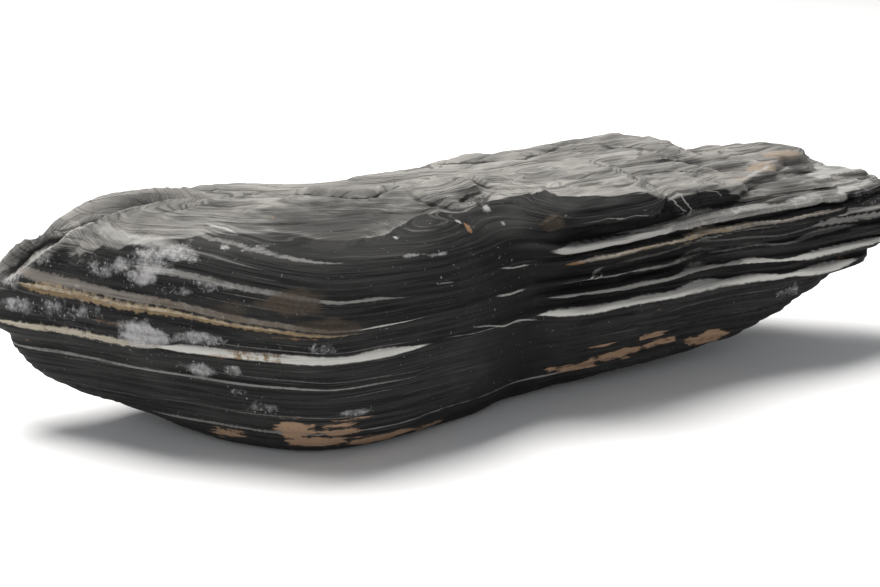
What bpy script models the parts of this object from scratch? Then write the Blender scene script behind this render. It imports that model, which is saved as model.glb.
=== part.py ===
"""A banded stone for a planted aquarium, made as the one solid that it is.

The stone lies along X on its flat resting face at Z = 0, and its banded face looks along -Y.
Every table is in millimetres in that frame. The stone's skin is where the field of stone_field()
is zero. Rays that fan out from a spine inside the stone find the skin, and make a fine mesh of it.
A Decimate modifier then keeps the faces that carry its form: the ledges, folds and creases.
"""

import bpy
import numpy as np

MM = 0.001

# Plan of the widest bed: where the front and the back walls reach, as (x, y).
FRONT_REACH = (
    (-154, 36), (-146, 27), (-139, 18), (-130, 8), (-122, -2), (-112, -13), (-101, -22), (-88, -34),
    (-76, -43), (-62, -45), (-40, -42), (-17, -37), (0, -34), (18, -33), (34, -33), (45, -31),
    (61, -28), (74, -28), (91, -29), (107, -29), (122, -27), (136, -22), (152, -12),
)
BACK_REACH = (
    (-154, 38), (-146, 40), (-136, 40), (-122, 39), (-104, 41), (-84, 43), (-58, 41), (-34, 37),
    (-12, 38), (14, 41), (40, 40), (62, 37), (84, 33), (102, 27), (120, 17), (136, 5), (152, -10),
)
# Heights along the stone, as (x, z): the widest bed, the underside, the top's front edge and its back crest.
WIDEST_BED = ((-154, 40), (-136, 36), (-110, 33), (60, 32), (90, 35), (120, 41), (152, 47))
UNDERSIDE = (
    (-154, 30), (-148, 22), (-144, 16), (-138, 11), (-131, 10), (-120, 8.5), (-110, 6), (-104, 4),
    (-98, 2), (-90, -0.5), (-80, -3), (-40, -4), (0, -3), (14, -2), (28, 0), (46, 1.5), (62, 3.5),
    (80, 7.5), (94, 13.5), (107, 21), (122, 29), (136, 38.5), (152, 45.5),
)
TOP_FRONT = (
    (-154, 42), (-145, 47), (-139, 51), (-130, 58), (-120, 63), (-110, 63), (-98, 62), (-80, 62),
    (-60, 61), (-46, 62), (-36, 64), (-22, 62), (-8, 61), (0, 62), (5, 65), (20, 66), (37, 66),
    (43, 63.5), (52, 63.5), (62, 63), (72, 61), (90, 60.5), (106, 60.5), (118, 59), (128, 56.5),
    (140, 53.5), (152, 50),
)
TOP_BACK = (
    (-154, 50), (-146, 55), (-136, 58), (-126, 60), (-116, 63.5), (-104, 64.5), (-92, 65.5), (-78, 65),
    (-60, 64.5), (-44, 64.5), (-32, 65.5), (-20, 65.5), (-6, 66), (8, 65.5), (22, 65.5), (38, 65.5),
    (50, 67), (62, 68), (72, 66), (82, 63), (92, 63), (104, 63.2), (116, 62.6), (126, 61), (134, 57),
    (142, 55.5), (152, 52),
)

# How far the front wall tucks in by the time it meets the underside, as (x, depth).
FRONT_TUCK = (
    (-152, 10), (-130, 16), (-107, 22), (-95, 23), (-84, 22), (-76, 21), (-64, 16), (-48, 14), (-37, 15),
    (-27, 17), (-16, 18), (-6, 24), (3, 26), (14, 29), (26, 28), (37, 24), (49, 21), (78, 17), (110, 13),
    (127, 9), (150, 5),
)

# How the pile of beds rises towards each end above the bed at z: rise, middle and half width along X.
FOLDS = {"left": (6.5, -88, 40), "right": (2.2, 30, 35), "z": 42.0, "half_height": 9.0}
# Waves of the beds and of each surface: a seed, their lengths along each direction, and their height.
BED_WAVES = ((3, (150, 90), 0.5), (4, (45, 30), 0.2))
FRONT_WAVES = ((7, (42, 60), 0.7),)
BACK_WAVES = ((9, (52, 50), 1.1),)
TOP_WAVES = ((15, (34, 20), 0.7), (16, (18, 8), 0.35))
UNDERSIDE_WAVES = ((17, (60, 22), 0.9),)
SHEET_EDGE_WAVES = ((12, (22,), 1.6), (13, (8,), 0.7))
# Where the left lobe ends and the right one begins, and half the width over which they blend.
LOBES_MEET = {"beds": (2, 12), "wall": (0, 10), "rim": (0, 8)}
# Each bed that stands out of the wall or weathers back: lowest and highest height in the pile, then how
# far it stands out on the left lobe and on the right one.
BEDS = (
    (5.0, 9.5, -0.5, -0.8), (9.5, 11.5, 0.7, 0.7), (11.5, 17.0, 0.0, -0.5), (17.0, 18.2, 0.4, 0.5),
    (18.2, 23.5, 0.0, 0.0), (23.5, 25.6, 0.5, 1.0), (25.6, 30.6, -0.3, 0.4), (30.6, 34.4, 0.8, 2.8),
    (34.4, 36.4, -0.2, -0.5), (36.4, 38.8, 0.0, 2.0), (38.8, 39.6, 0.0, -0.4), (39.6, 42.4, 0.6, 1.5),
    (42.4, 46.2, -0.2, -1.2), (46.2, 49.2, 0.3, 1.9), (49.2, 50.4, -0.1, -1.4), (50.4, 53.4, 0.2, 1.4),
    (53.4, 56.4, 0.0, -1.8), (56.4, 58.6, 0.3, -0.6), (58.6, 70.0, 0.0, 0.4),
)
BED_EDGE = 0.5
# Every bed fades in and out along the stone: its usual share of its reach, how far the share swings, and
# how far the places where it fades move from one bed to the next.
BED_FADING = {"usual": 0.8, "swing": 0.4, "turn": 2.4, "waves": ((20, (70, 60), 1.0), (21, (60, 70), 1.0))}
# The back shows the beds a little more than the front.
BACK_BEDS = 1.1
PARTING_DEPTH = 0.6
PARTING_WIDTH = 0.6
PARTING_LEFT_SHARE = 0.45
# The lowest beds are broken back at the left end: depth, then where along X and up to what height.
LEFT_STEPS = ((3.2, (-112, 14), (29.5, 0.8)), (1.8, (-104, 6), (11, 0.6)))

# The upright groove between the two lobes of the front; its foot lies farther left.
GROOVE = {
    "x": -3.0, "foot_shift": 5.0, "foot": (14, 8), "left_width": 15.0, "right_width": 6.5,
    "depth_low": 1.5, "depth_high": 6.5, "deepens": (42, 20),
}
# Below its widest bed a wall tucks in, first as a slope and then ever more like a quarter circle.
BELLY = {"slope_share": 0.25, "roundness": 0.96, "least_height": 4.0, "foot_gap": 0.5}
# Above it the wall leans back and rounds over: how deep, how far below the top it starts, and how far
# above the top it would be level.
FRONT_SHOULDER = {
    "left_depth": 17.0, "left_start": 19.0, "right_depth": 3.0, "right_start": 5.0, "over": 1.5,
}
BACK_SHOULDER = {"depth": 12.0, "start": 20.0, "over": 2.0}
SHOULDER_ROUNDNESS = 0.97
# Towards the right end the upper front wall leans back in a straight slope.
RIGHT_LEAN = {"from": (76, 18), "foot": 48.0, "slope": 0.67, "most": 12.0}
BACK_TUCK = 24.0
# Bays in the back wall: x, half length, depth; and the height where they reach their full depth.
BACK_BAYS = ((-44, 11, 3.5), (66, 13, 3.0))
BAY_HEIGHT = (20, 14)

# Creases in the top, each a path of (x, y), its depth, its width, and the step up behind it.
CREASES = (
    (((-152, 27), (-145, 23), (-138, 18), (-130, 13), (-121, 10)), 5.0, 2.4, 1.2),
    (((-136, 31), (-125, 25), (-107, 22), (-84, 26), (-55, 23), (-40, 16), (-25, 12), (-12, 11)), 2.8, 1.9, 1.6),
    (((-26, -3), (-21, -9), (-12, -8), (-2, -2)), 2.2, 2.0, -0.8),
    (((-8, 7), (0, 1), (9, -3)), 1.4, 1.6, 0.8),
    (((6, 32), (26, 23), (44, 18), (58, 17)), 1.4, 2.0, 1.0),
    (((60, 4), (74, -2), (88, -2), (98, 4)), 1.0, 2.5, 0.6),
)
CREASE_ENDS = {"inset": 3.0, "half_width": 4.5}
CREASE_STEP = {"start": 0.6, "reach": 9.0}
# Bosses (height above zero) and hollows (below zero) of the top: centre, half length, half width,
# turn in degrees, height.
SWELLINGS = (
    ((-56, -17), 27, 13, 4, -2.6),
    ((-17, 1), 17, 9, 16, 2.4),
    ((-92, 2), 26, 14, -20, 1.5),
    ((30, -8), 36, 14, 0, 0.9),
    ((112, -6), 16, 9, 20, -1.2),
    ((-118, 32), 20, 7, 4, 1.2),
)
SWELLING_FLATNESS = 1.3
# The long hump on the back crest, which breaks off at its right end.
HUMP = {
    "from": (-8, 4), "to": (73, 1.6), "y": 25.0, "half_width": 11.0, "height": 3.2, "low_share": 0.55,
    "climbs": (40, 30), "slant": 0.06,
}
# The broken edge of the top sheet, beyond which the top is lower.
SHEET_EDGE = {"start": (57, -33), "end": (116, 2), "drop": 2.6, "half_width": 1.1, "fades": (134, 14)}
# The front slab stands out to a nose, above its lowest height.
SLAB_NOSE = {"reach": 2.4, "from": (5, 3), "to": (39.5, 1.6), "lowest": (57.5, 0.5)}
# The upper beds break off near the right end, and the wall behind them is farther back.
BROKEN_BEDS = {"depth": 3.2, "from": (114, 0.9), "to": (142, 8), "lowest": (48.5, 0.8)}
# The top between the walls: how far in from them it starts, how much it crowns, and how it falls behind.
TOP = {
    "front_inset": 11.0, "back_inset": 14.0, "least_width": 6.0, "crown": 1.2, "crown_width": 0.4,
    "fall": 5.0, "fall_end": 1.2,
}
# How fast the underside lifts away from the stone's middle line.
UNDERSIDE_LIFT = 0.006
# The rounded ends: how far out, the y and z of the farthest place, and how fast the end falls back from it.
LEFT_END = {"x": -150.5, "y": 32.0, "z": 39.0, "fall_y": 0.011, "fall_z": 0.012}
RIGHT_END = {"x": 151.5, "y": -13.0, "z": 49.0, "fall_y": 0.016, "fall_z": 0.02}
# Radii where the surfaces meet.
ROUNDING = {
    "left_rim": 7.0, "right_rim": 2.8, "back": 10.0, "left_end": 7.0, "right_end": 9.0,
    "underside": 5.0, "foot": 2.0,
}

SPINE = ((-112, 4, 36), (-70, -1, 32), (0, 2, 32), (60, 3, 35), (96, -1, 42), (124, -8, 46))
RAYS_ALONG = 200
RAYS_ROUND = 290
LONGEST_RAY = 110.0
BED_SLACK = 6.0
# The rays lean over only near the ends of the spine.
LATE_LEAN = 2.6
# The search along each ray: strides, then halvings, without the beds and with them.
ROUGH_SEARCH = (40, 4)
EXACT_SEARCH = (14, 8)
FLAT_BELOW = 0.05
TRIANGLES = 9600

STONE_COLOUR = (0.055, 0.055, 0.056, 1.0)
STONE_ROUGHNESS = 0.62


def curve_through(table, x):
    """The smooth curve through a table of points, level beyond its ends."""
    at, value = np.array(table, float).T
    slope = np.gradient(value, at)
    i = np.clip(np.searchsorted(at, x) - 1, 0, len(at) - 2)
    run = at[i + 1] - at[i]
    t = np.clip((x - at[i]) / run, 0.0, 1.0)
    start = (2 * t**3 - 3 * t**2 + 1) * value[i] + (t**3 - 2 * t**2 + t) * run * slope[i]
    return start + (3 * t**2 - 2 * t**3) * value[i + 1] + (t**3 - t**2) * run * slope[i + 1]


def smooth_step(t):
    t = np.clip(t, 0.0, 1.0)
    return t * t * (3 - 2 * t)


def rise(x, middle, half_width):
    """From 0 to 1 across the middle."""
    return smooth_step((x - middle) / (2 * half_width) + 0.5)


def rounded_max(a, b, radius):
    """The larger of the two, with the corner between them rounded."""
    overlap = np.maximum(radius - np.abs(a - b), 0.0) / radius
    return np.maximum(a, b) + overlap * overlap * radius * 0.25


def ripple(seed, wavelengths, *coordinates):
    """A wavy field between about -1 and 1, its wavelengths given for each coordinate."""
    dice = np.random.default_rng(seed)
    waves = 6
    total = 0.0
    for _ in range(waves):
        phase = dice.uniform(0, 2 * np.pi)
        for length, coordinate in zip(wavelengths, coordinates):
            phase = phase + coordinate * 2 * np.pi * dice.uniform(-1.3, 1.3) / length
        total = total + np.sin(phase)
    return total / np.sqrt(waves) / 1.4


def waves(table, *coordinates):
    """The ripples of a table added up."""
    return sum(height * ripple(seed, lengths, *coordinates) for seed, lengths, height in table)


def bed_height(x, y, z):
    """The height in the pile of beds, which fold a little."""
    left, right = FOLDS["left"], FOLDS["right"]
    lift = left[0] * (1 - rise(x, left[1], left[2])) + right[0] * rise(x, right[1], right[2])
    lift = lift * rise(z, FOLDS["z"], FOLDS["half_height"])
    return z - lift - waves(BED_WAVES, x, y)


def ledges(x, y, z):
    """How far the beds stand out of the wall."""
    bed = bed_height(x, y, z)
    lobe = rise(x, *LOBES_MEET["beds"])
    reach = BEDS[0][2] * (1 - lobe) + BEDS[0][3] * lobe
    partings = 0.0
    one, other = (waves((wave,), x, y) for wave in BED_FADING["waves"])
    for number, (below, above) in enumerate(zip(BEDS, BEDS[1:])):
        edge = above[0]
        left, right = above[2] - below[2], above[3] - below[3]
        turn = BED_FADING["turn"] * number
        fading = BED_FADING["usual"] + BED_FADING["swing"] * (one * np.cos(turn) + other * np.sin(turn))
        reach = reach + (left * (1 - lobe) + right * lobe) * fading * rise(bed, edge, BED_EDGE)
        partings = partings + fading * np.exp(-(((bed - edge) / PARTING_WIDTH) ** 2))
    share = PARTING_LEFT_SHARE * (1 - lobe) + lobe
    return reach - PARTING_DEPTH * share * partings


def left_step(x, z):
    return sum(depth * (1 - rise(x, *end)) * (1 - rise(z, *height)) for depth, end, height in LEFT_STEPS)


def groove(x, z):
    middle = GROOVE["x"] - GROOVE["foot_shift"] * (1 - rise(z, *GROOVE["foot"]))
    width = np.where(x < middle, GROOVE["left_width"], GROOVE["right_width"])
    high = rise(z, *GROOVE["deepens"])
    depth = GROOVE["depth_low"] * (1 - high) + GROOVE["depth_high"] * high
    return depth * np.exp(-(((x - middle) / width) ** 2))


def belly(x, z, depth):
    """How far a wall tucks in below its widest bed."""
    widest = curve_through(WIDEST_BED, x)
    under = np.maximum(curve_through(UNDERSIDE, x), 0.0)
    height = np.maximum(widest - under + BELLY["foot_gap"], BELLY["least_height"])
    fall = np.clip((widest - z) / height, 0.0, 1.0)
    arc = 1 - np.sqrt(1 - BELLY["roundness"] * fall * fall)
    return depth * (BELLY["slope_share"] * fall + (1 - BELLY["slope_share"]) * arc)


def shoulder(x, z, depth, start, top):
    """How far a wall leans back as it rounds over into the top."""
    climb = np.clip((z - start) / (top - start), 0.0, SHOULDER_ROUNDNESS)
    return depth * (1 - np.sqrt(1 - climb * climb))


def front_wall(x, z):
    lobe = rise(x, *LOBES_MEET["wall"])
    top = curve_through(TOP_FRONT, x)
    tuck = belly(x, z, curve_through(FRONT_TUCK, x))
    depth = FRONT_SHOULDER["left_depth"] * (1 - lobe) + FRONT_SHOULDER["right_depth"] * lobe
    start = FRONT_SHOULDER["left_start"] * (1 - lobe) + FRONT_SHOULDER["right_start"] * lobe
    lean = shoulder(x, z, depth, top - start, top + FRONT_SHOULDER["over"])
    slope = np.clip(RIGHT_LEAN["slope"] * (z - RIGHT_LEAN["foot"]), 0, RIGHT_LEAN["most"])
    lean = lean + slope * rise(x, *RIGHT_LEAN["from"])
    nose = SLAB_NOSE["reach"] * rise(x, *SLAB_NOSE["from"]) * (1 - rise(x, *SLAB_NOSE["to"]))
    nose = nose * rise(z, *SLAB_NOSE["lowest"])
    broken = BROKEN_BEDS["depth"] * rise(x, *BROKEN_BEDS["from"]) * (1 - rise(x, *BROKEN_BEDS["to"]))
    broken = broken * rise(z, *BROKEN_BEDS["lowest"])
    reach = curve_through(FRONT_REACH, x) + tuck + lean + groove(x, z) + left_step(x, z) + broken - nose
    return reach - waves(FRONT_WAVES, x, z)


def back_wall(x, z):
    top = curve_through(TOP_BACK, x)
    tuck = belly(x, z, BACK_TUCK)
    lean = shoulder(x, z, BACK_SHOULDER["depth"], top - BACK_SHOULDER["start"], top + BACK_SHOULDER["over"])
    bays = sum(depth * np.exp(-(((x - middle) / half) ** 2)) for middle, half, depth in BACK_BAYS)
    reach = curve_through(BACK_REACH, x) - tuck - lean - bays * rise(z, *BAY_HEIGHT)
    return reach + waves(BACK_WAVES, x, z)


def distance_to_path(x, y, path):
    """Signed distance in plan to a path (above zero behind it), and how much of the path is beside the point."""
    along, across = np.array(path, float).T
    signed = y - curve_through(path, x)
    slope = np.interp(x, along, np.gradient(across, along))
    inset, half_width = CREASE_ENDS["inset"], CREASE_ENDS["half_width"]
    beside = rise(x, along[0] + inset, half_width) * (1 - rise(x, along[-1] - inset, half_width))
    return signed / np.sqrt(1 + slope * slope), beside


def creases(x, y):
    change = 0.0
    for path, depth, width, step in CREASES:
        away, beside = distance_to_path(x, y, path)
        change = change - depth * beside * np.exp(-((away / width) ** 2))
        start = width * CREASE_STEP["start"]
        behind = rise(away, start, start) * np.exp(-((np.maximum(away, 0) / CREASE_STEP["reach"]) ** 2))
        change = change + step * beside * behind
    return change


def swellings(x, y):
    change = 0.0
    for (cx, cy), half_length, half_width, turn, height in SWELLINGS:
        a = np.radians(turn)
        u = ((x - cx) * np.cos(a) + (y - cy) * np.sin(a)) / half_length
        v = ((y - cy) * np.cos(a) - (x - cx) * np.sin(a)) / half_width
        change = change + height * np.exp(-((u * u + v * v) ** SWELLING_FLATNESS))
    return change


def hump(x, y):
    ends = rise(x, *HUMP["from"]) * (1 - rise(x, *HUMP["to"]))
    share = HUMP["low_share"] + (1 - HUMP["low_share"]) * rise(x, *HUMP["climbs"])
    ridge = HUMP["y"] - HUMP["slant"] * (x - HUMP["climbs"][0])
    return HUMP["height"] * ends * share * np.exp(-(((y - ridge) / HUMP["half_width"]) ** 2))


def sheet_edge(x, y):
    start, end = np.array(SHEET_EDGE["start"], float), np.array(SHEET_EDGE["end"], float)
    run = (end - start) / np.linalg.norm(end - start)
    along = (x - start[0]) * run[0] + (y - start[1]) * run[1]
    across = (x - start[0]) * run[1] - (y - start[1]) * run[0]
    ragged = across + waves(SHEET_EDGE_WAVES, along)
    fading = 1 - rise(x, *SHEET_EDGE["fades"])
    return -SHEET_EDGE["drop"] * fading * rise(ragged, 0, SHEET_EDGE["half_width"])


def top_height(x, y):
    front = curve_through(FRONT_REACH, x) + TOP["front_inset"]
    back = curve_through(BACK_REACH, x) - TOP["back_inset"]
    across = (y - front) / np.maximum(back - front, TOP["least_width"])
    height = curve_through(TOP_FRONT, x)
    height = height + (curve_through(TOP_BACK, x) - height) * smooth_step(across)
    height = height + TOP["crown"] * np.exp(-(((across - 0.5) / TOP["crown_width"]) ** 2))
    height = height - TOP["fall"] * np.clip(across - 1.0, 0, TOP["fall_end"]) ** 2
    height = height + creases(x, y) + swellings(x, y) + hump(x, y) + sheet_edge(x, y)
    return height + waves(TOP_WAVES, x, y)


def underside(x, y):
    """The underside lifts towards the walls and the ends, and has long shallow scars."""
    middle = 0.5 * (curve_through(FRONT_REACH, x) + curve_through(BACK_REACH, x))
    lift = UNDERSIDE_LIFT * (y - middle) ** 2
    return curve_through(UNDERSIDE, x) + lift + waves(UNDERSIDE_WAVES, x, y)


def end_cap(end, y, z):
    """How far the rounded end of the stone falls back from its farthest place."""
    return end["fall_y"] * (y - end["y"]) ** 2 + end["fall_z"] * (z - end["z"]) ** 2


def stone_field(x, y, z, beds):
    """Below zero inside the stone, zero on its skin, above zero outside; beds is how far each bed stands out."""
    lobe = rise(x, *LOBES_MEET["rim"])
    rim = ROUNDING["left_rim"] * (1 - lobe) + ROUNDING["right_rim"] * lobe
    field = rounded_max(front_wall(x, z) - y - beds, z - top_height(x, y), rim)
    field = rounded_max(field, y - back_wall(x, z) - BACK_BEDS * beds, ROUNDING["back"])
    left_end = LEFT_END["x"] + end_cap(LEFT_END, y, z) + left_step(x, z) - beds - x
    field = rounded_max(field, left_end, ROUNDING["left_end"])
    field = rounded_max(field, x - RIGHT_END["x"] + end_cap(RIGHT_END, y, z), ROUNDING["right_end"])
    field = rounded_max(field, underside(x, y) - z, ROUNDING["underside"])
    return rounded_max(field, -z, ROUNDING["foot"])


def ray_fan():
    """Starts and directions of the rays: square to the spine along the stone, and fanned out at its ends."""
    spine = np.array(SPINE, float)
    along = np.linspace(-1, 1, RAYS_ALONG + 2)[1:-1]
    # The rays' feet bunch towards the ends of the spine, where the rays lean over.
    feet = 0.5 + 0.5 * np.sin(along * np.pi / 2)
    x = spine[0, 0] + (spine[-1, 0] - spine[0, 0]) * feet
    y = curve_through(spine[:, [0, 1]], x)
    z = curve_through(spine[:, [0, 2]], x)
    lean = np.pi / 2 * np.sign(along) * np.abs(along) ** LATE_LEAN
    turn = np.linspace(0, 2 * np.pi, RAYS_ROUND, endpoint=False)
    starts = np.stack([x, y, z], -1)[:, None, :] + np.zeros((1, RAYS_ROUND, 1))
    directions = np.stack(
        [
            np.sin(lean)[:, None] + 0 * turn,
            np.cos(lean)[:, None] * np.cos(turn),
            np.cos(lean)[:, None] * np.sin(turn),
        ],
        -1,
    )
    return starts, directions


def first_exit(starts, directions, low, high, steps, halvings, with_beds):
    """How far along each ray the stone ends, looked for between low and high."""

    def inside(reach):
        x, y, z = np.moveaxis(starts + directions * reach[..., None], -1, 0)
        return stone_field(x, y, z, ledges(x, y, z) if with_beds else 0.0) < 0

    stride = (high - low) / steps
    going = np.ones(low.shape, bool)
    for _ in range(steps):
        going = going & inside(low + stride)
        low = np.where(going, low + stride, low)
    high = low + stride
    for _ in range(halvings):
        half = 0.5 * (low + high)
        within = inside(half)
        low, high = np.where(within, half, low), np.where(within, high, half)
    return 0.5 * (low + high)


def skin_points(starts, directions):
    """Where each ray first leaves the stone: roughly without the beds, then with them."""
    none = np.zeros(starts.shape[:-1])
    rough = first_exit(starts, directions, none, none + LONGEST_RAY, *ROUGH_SEARCH, False)
    slack = np.minimum(rough, BED_SLACK)
    exact = first_exit(starts, directions, rough - slack, rough + slack, *EXACT_SEARCH, True)
    points = starts + directions * exact[..., None]
    points[..., 2] = np.where(points[..., 2] < FLAT_BELOW, 0.0, points[..., 2])
    # The origin is under the middle of the stone's box.
    flat = points.reshape(-1, 3)
    points[..., :2] -= 0.5 * (flat.min(0) + flat.max(0))[:2]
    return points


def rings_to_mesh(name, rings):
    """One closed mesh of the rings, with a point at either end."""
    count, around = rings.shape[:2]
    points = rings.reshape(-1, 3)
    ends = np.array([rings[0].mean(0), rings[-1].mean(0)])
    left, right = len(points), len(points) + 1
    faces = []
    for i in range(count - 1):
        for j in range(around):
            k = (j + 1) % around
            faces.append((i * around + j, i * around + k, (i + 1) * around + k, (i + 1) * around + j))
    last = (count - 1) * around
    for j in range(around):
        k = (j + 1) % around
        faces.append((left, k, j))
        faces.append((right, last + j, last + k))
    mesh = bpy.data.meshes.new(name)
    mesh.from_pydata((np.concatenate([points, ends]) * MM).tolist(), [], faces)
    return mesh


def stone_material():
    material = bpy.data.materials.new("banded_stone")
    material.use_nodes = True
    shader = material.node_tree.nodes["Principled BSDF"]
    shader.inputs["Base Color"].default_value = STONE_COLOUR
    shader.inputs["Roughness"].default_value = STONE_ROUGHNESS
    shader.inputs["Metallic"].default_value = 0.0
    return material


def clear_scene():
    for item in list(bpy.data.objects):
        bpy.data.objects.remove(item)


def build_stone():
    fine = rings_to_mesh("stone_skin", skin_points(*ray_fan()))
    stone = bpy.data.objects.new("stone", fine)
    bpy.context.scene.collection.objects.link(stone)
    fine.materials.append(stone_material())
    thinning = stone.modifiers.new("thin_out", "DECIMATE")
    thinning.ratio = TRIANGLES / sum(len(face.vertices) - 2 for face in fine.polygons)
    thinning.use_collapse_triangulate = True
    return stone


def main():
    clear_scene()
    build_stone()


main()
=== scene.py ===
import math
import bmesh
import bpy
import numpy as np
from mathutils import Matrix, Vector
from mathutils.bvhtree import BVHTree


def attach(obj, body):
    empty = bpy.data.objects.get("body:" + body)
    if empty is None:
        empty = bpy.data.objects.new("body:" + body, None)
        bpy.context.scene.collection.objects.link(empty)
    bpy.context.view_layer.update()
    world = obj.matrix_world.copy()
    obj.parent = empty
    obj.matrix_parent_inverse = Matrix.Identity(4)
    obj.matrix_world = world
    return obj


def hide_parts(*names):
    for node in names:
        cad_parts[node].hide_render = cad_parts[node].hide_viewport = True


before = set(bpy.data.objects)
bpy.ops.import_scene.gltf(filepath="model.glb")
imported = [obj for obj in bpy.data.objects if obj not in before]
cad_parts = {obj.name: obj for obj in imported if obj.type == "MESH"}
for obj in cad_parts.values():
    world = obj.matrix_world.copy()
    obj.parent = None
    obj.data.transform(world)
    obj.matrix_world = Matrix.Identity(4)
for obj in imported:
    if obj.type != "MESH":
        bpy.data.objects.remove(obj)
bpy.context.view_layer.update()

# A banded stone for a planted aquarium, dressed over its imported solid. X runs along the stone, Y to its back
# and Z up. The stone's values are in millimetres, and meshes, lights and camera in metres.
mm = 0.001


def smoothRise(x, middle, half):
    # 0 before the middle, 1 after it
    t = np.clip((x - middle) / (2 * half) + 0.5, 0, 1)
    return t * t * (3 - 2 * t)


def between(x, start, end, half):
    return smoothRise(x, start, half) * (1 - smoothRise(x, end, half))


def hump(away, reach):
    # 1 in the middle, and next to nothing at twice the reach
    return np.exp(-((away / reach) ** 2))


def fadeAtEnds(share, left, steepness=1.0):
    # along a path: from the little that is left at its ends to 1
    return np.clip(steepness * np.sin(np.pi * (left + (1 - 2 * left) * share)), 0, 1)


def addNode(tree, kind, inputs=None, **settings):
    # inputs holds a number, a colour or another node's output for each socket
    node = tree.nodes.new(kind)
    for name, value in settings.items():
        setattr(node, name, value)
    for socket, value in (inputs or {}).items():
        if isinstance(value, bpy.types.NodeSocket):
            tree.links.new(value, node.inputs[socket])
        else:
            node.inputs[socket].default_value = value
    return node


def maths(tree, operation, *values, clamp=False):
    node = addNode(tree, "ShaderNodeMath", dict(enumerate(values)), operation=operation, use_clamp=clamp)
    return node.outputs[0]


def times(tree, one, other):
    return maths(tree, "MULTIPLY", one, other)


def timesPlus(tree, one, other, added):
    return maths(tree, "MULTIPLY_ADD", one, other, added)


def blend(tree, amount, below, above):
    sockets = {0: amount, 6: below, 7: above}
    return addNode(tree, "ShaderNodeMix", sockets, data_type="RGBA", clamp_factor=True).outputs[2]


def ramp(tree, value, low, high, fromValue=0.0, toValue=1.0):
    # a smooth step of value between low and high
    sockets = {0: value, 1: low, 2: high, 3: fromValue, 4: toValue}
    return addNode(tree, "ShaderNodeMapRange", sockets, interpolation_type="SMOOTHSTEP").outputs[0]


def noiseAt(tree, vector, scale=1.0, detail=3.0, roughness=0.55, distortion=0.0):
    sockets = {"Vector": vector, "Scale": scale, "Detail": detail}
    sockets |= {"Roughness": roughness, "Distortion": distortion}
    return addNode(tree, "ShaderNodeTexNoise", sockets).outputs["Fac"]


def vectorOf(tree, x, y, z):
    return addNode(tree, "ShaderNodeCombineXYZ", {0: x, 1: y, 2: z}).outputs[0]


def inMillimetres(tree, place):
    # the place as a vector, then its three coordinates
    scaled = addNode(tree, "ShaderNodeVectorMath", {0: place, 3: 1 / mm}, operation="SCALE").outputs[0]
    return scaled, *addNode(tree, "ShaderNodeSeparateXYZ", {0: scaled}).outputs


# The pile of beds: it rises towards each end above the bed called hinge, and swells in waves.
beds = {
    "leftRise": 6.5, "leftMiddle": -88, "leftHalf": 40,
    "rightRise": 2.2, "rightMiddle": 30, "rightHalf": 35,
    "hinge": 42, "hingeHalf": 9,
    "longSwell": 0.5, "longWaves": (150, 90),
    "shortSwell": 0.2, "shortWaves": (45, 30),
    "lobes": (2, 12),  # where the left lobe gives way to the right one, and over how far
}


def byLobe(x, left, right):
    # the left value on the left lobe, the right one on the right lobe, and a mix where they meet
    lobe = smoothRise(x, *beds["lobes"])
    return left * (1 - lobe) + right * lobe


def ripple(seed, wavelengths, *places):
    # a few long waves added up, about 1 at their highest
    dice, waves, spread, peak, total = np.random.default_rng(seed), 6, 1.3, 1.4, 0.0
    for _ in range(waves):
        phase = dice.uniform(0, 2 * np.pi)
        for length, place in zip(wavelengths, places):
            phase = phase + place * 2 * np.pi * dice.uniform(-spread, spread) / length
        total = total + np.sin(phase)
    return total / np.sqrt(waves) / peak


def bedHeight(x, y, z):
    lift = beds["leftRise"] * (1 - smoothRise(x, beds["leftMiddle"], beds["leftHalf"]))
    lift = lift + beds["rightRise"] * smoothRise(x, beds["rightMiddle"], beds["rightHalf"])
    lift = lift * smoothRise(z, beds["hinge"], beds["hingeHalf"])
    swell = beds["longSwell"] * ripple(3, beds["longWaves"], x, y)
    return z - lift - swell - beds["shortSwell"] * ripple(4, beds["shortWaves"], x, y)


# Each bed: its lowest height in the pile, and how far it stands out on the left and right lobes.
pile = (
    (5.0, -0.5, -0.8), (9.5, 0.7, 0.7), (11.5, 0.0, -0.5), (17.0, 0.4, 0.5), (18.2, 0.0, 0.0),
    (23.5, 0.5, 1.0), (25.6, -0.3, 0.4), (30.6, 0.8, 2.8), (34.4, -0.2, -0.5), (36.4, 0.0, 2.0),
    (38.8, 0.0, -0.4), (39.6, 0.6, 1.5), (42.4, -0.2, -1.2), (46.2, 0.3, 1.9), (49.2, -0.1, -1.4),
    (50.4, 0.2, 1.4), (53.4, 0.0, -1.8), (56.4, 0.3, -0.6), (58.6, 0.0, 0.4),
)
# How the beds' edges are sharpened, and the partings between them. Pairs are for the left and right lobes.
bedEdges = {
    "half": 0.3,  # half the height of a ledge's edge
    "share": (0.1, 0.4),  # how much of each bed's reach is added to the solid's
    "turn": 2.4, "least": 0.8, "varies": 0.4,  # each ledge grows and shrinks along the stone out of step
    "partingDepth": (0.3, 0.75), "partingHalf": 0.34,
    "partingLeast": 0.25, "partingByStep": 0.5,  # a parting is deepest under a bed that stands far out
    # the partings get painted shade, this dark on the left and right lobes
    "partingShade": (0.3, 0.75),  # how dark the partings are
}


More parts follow.
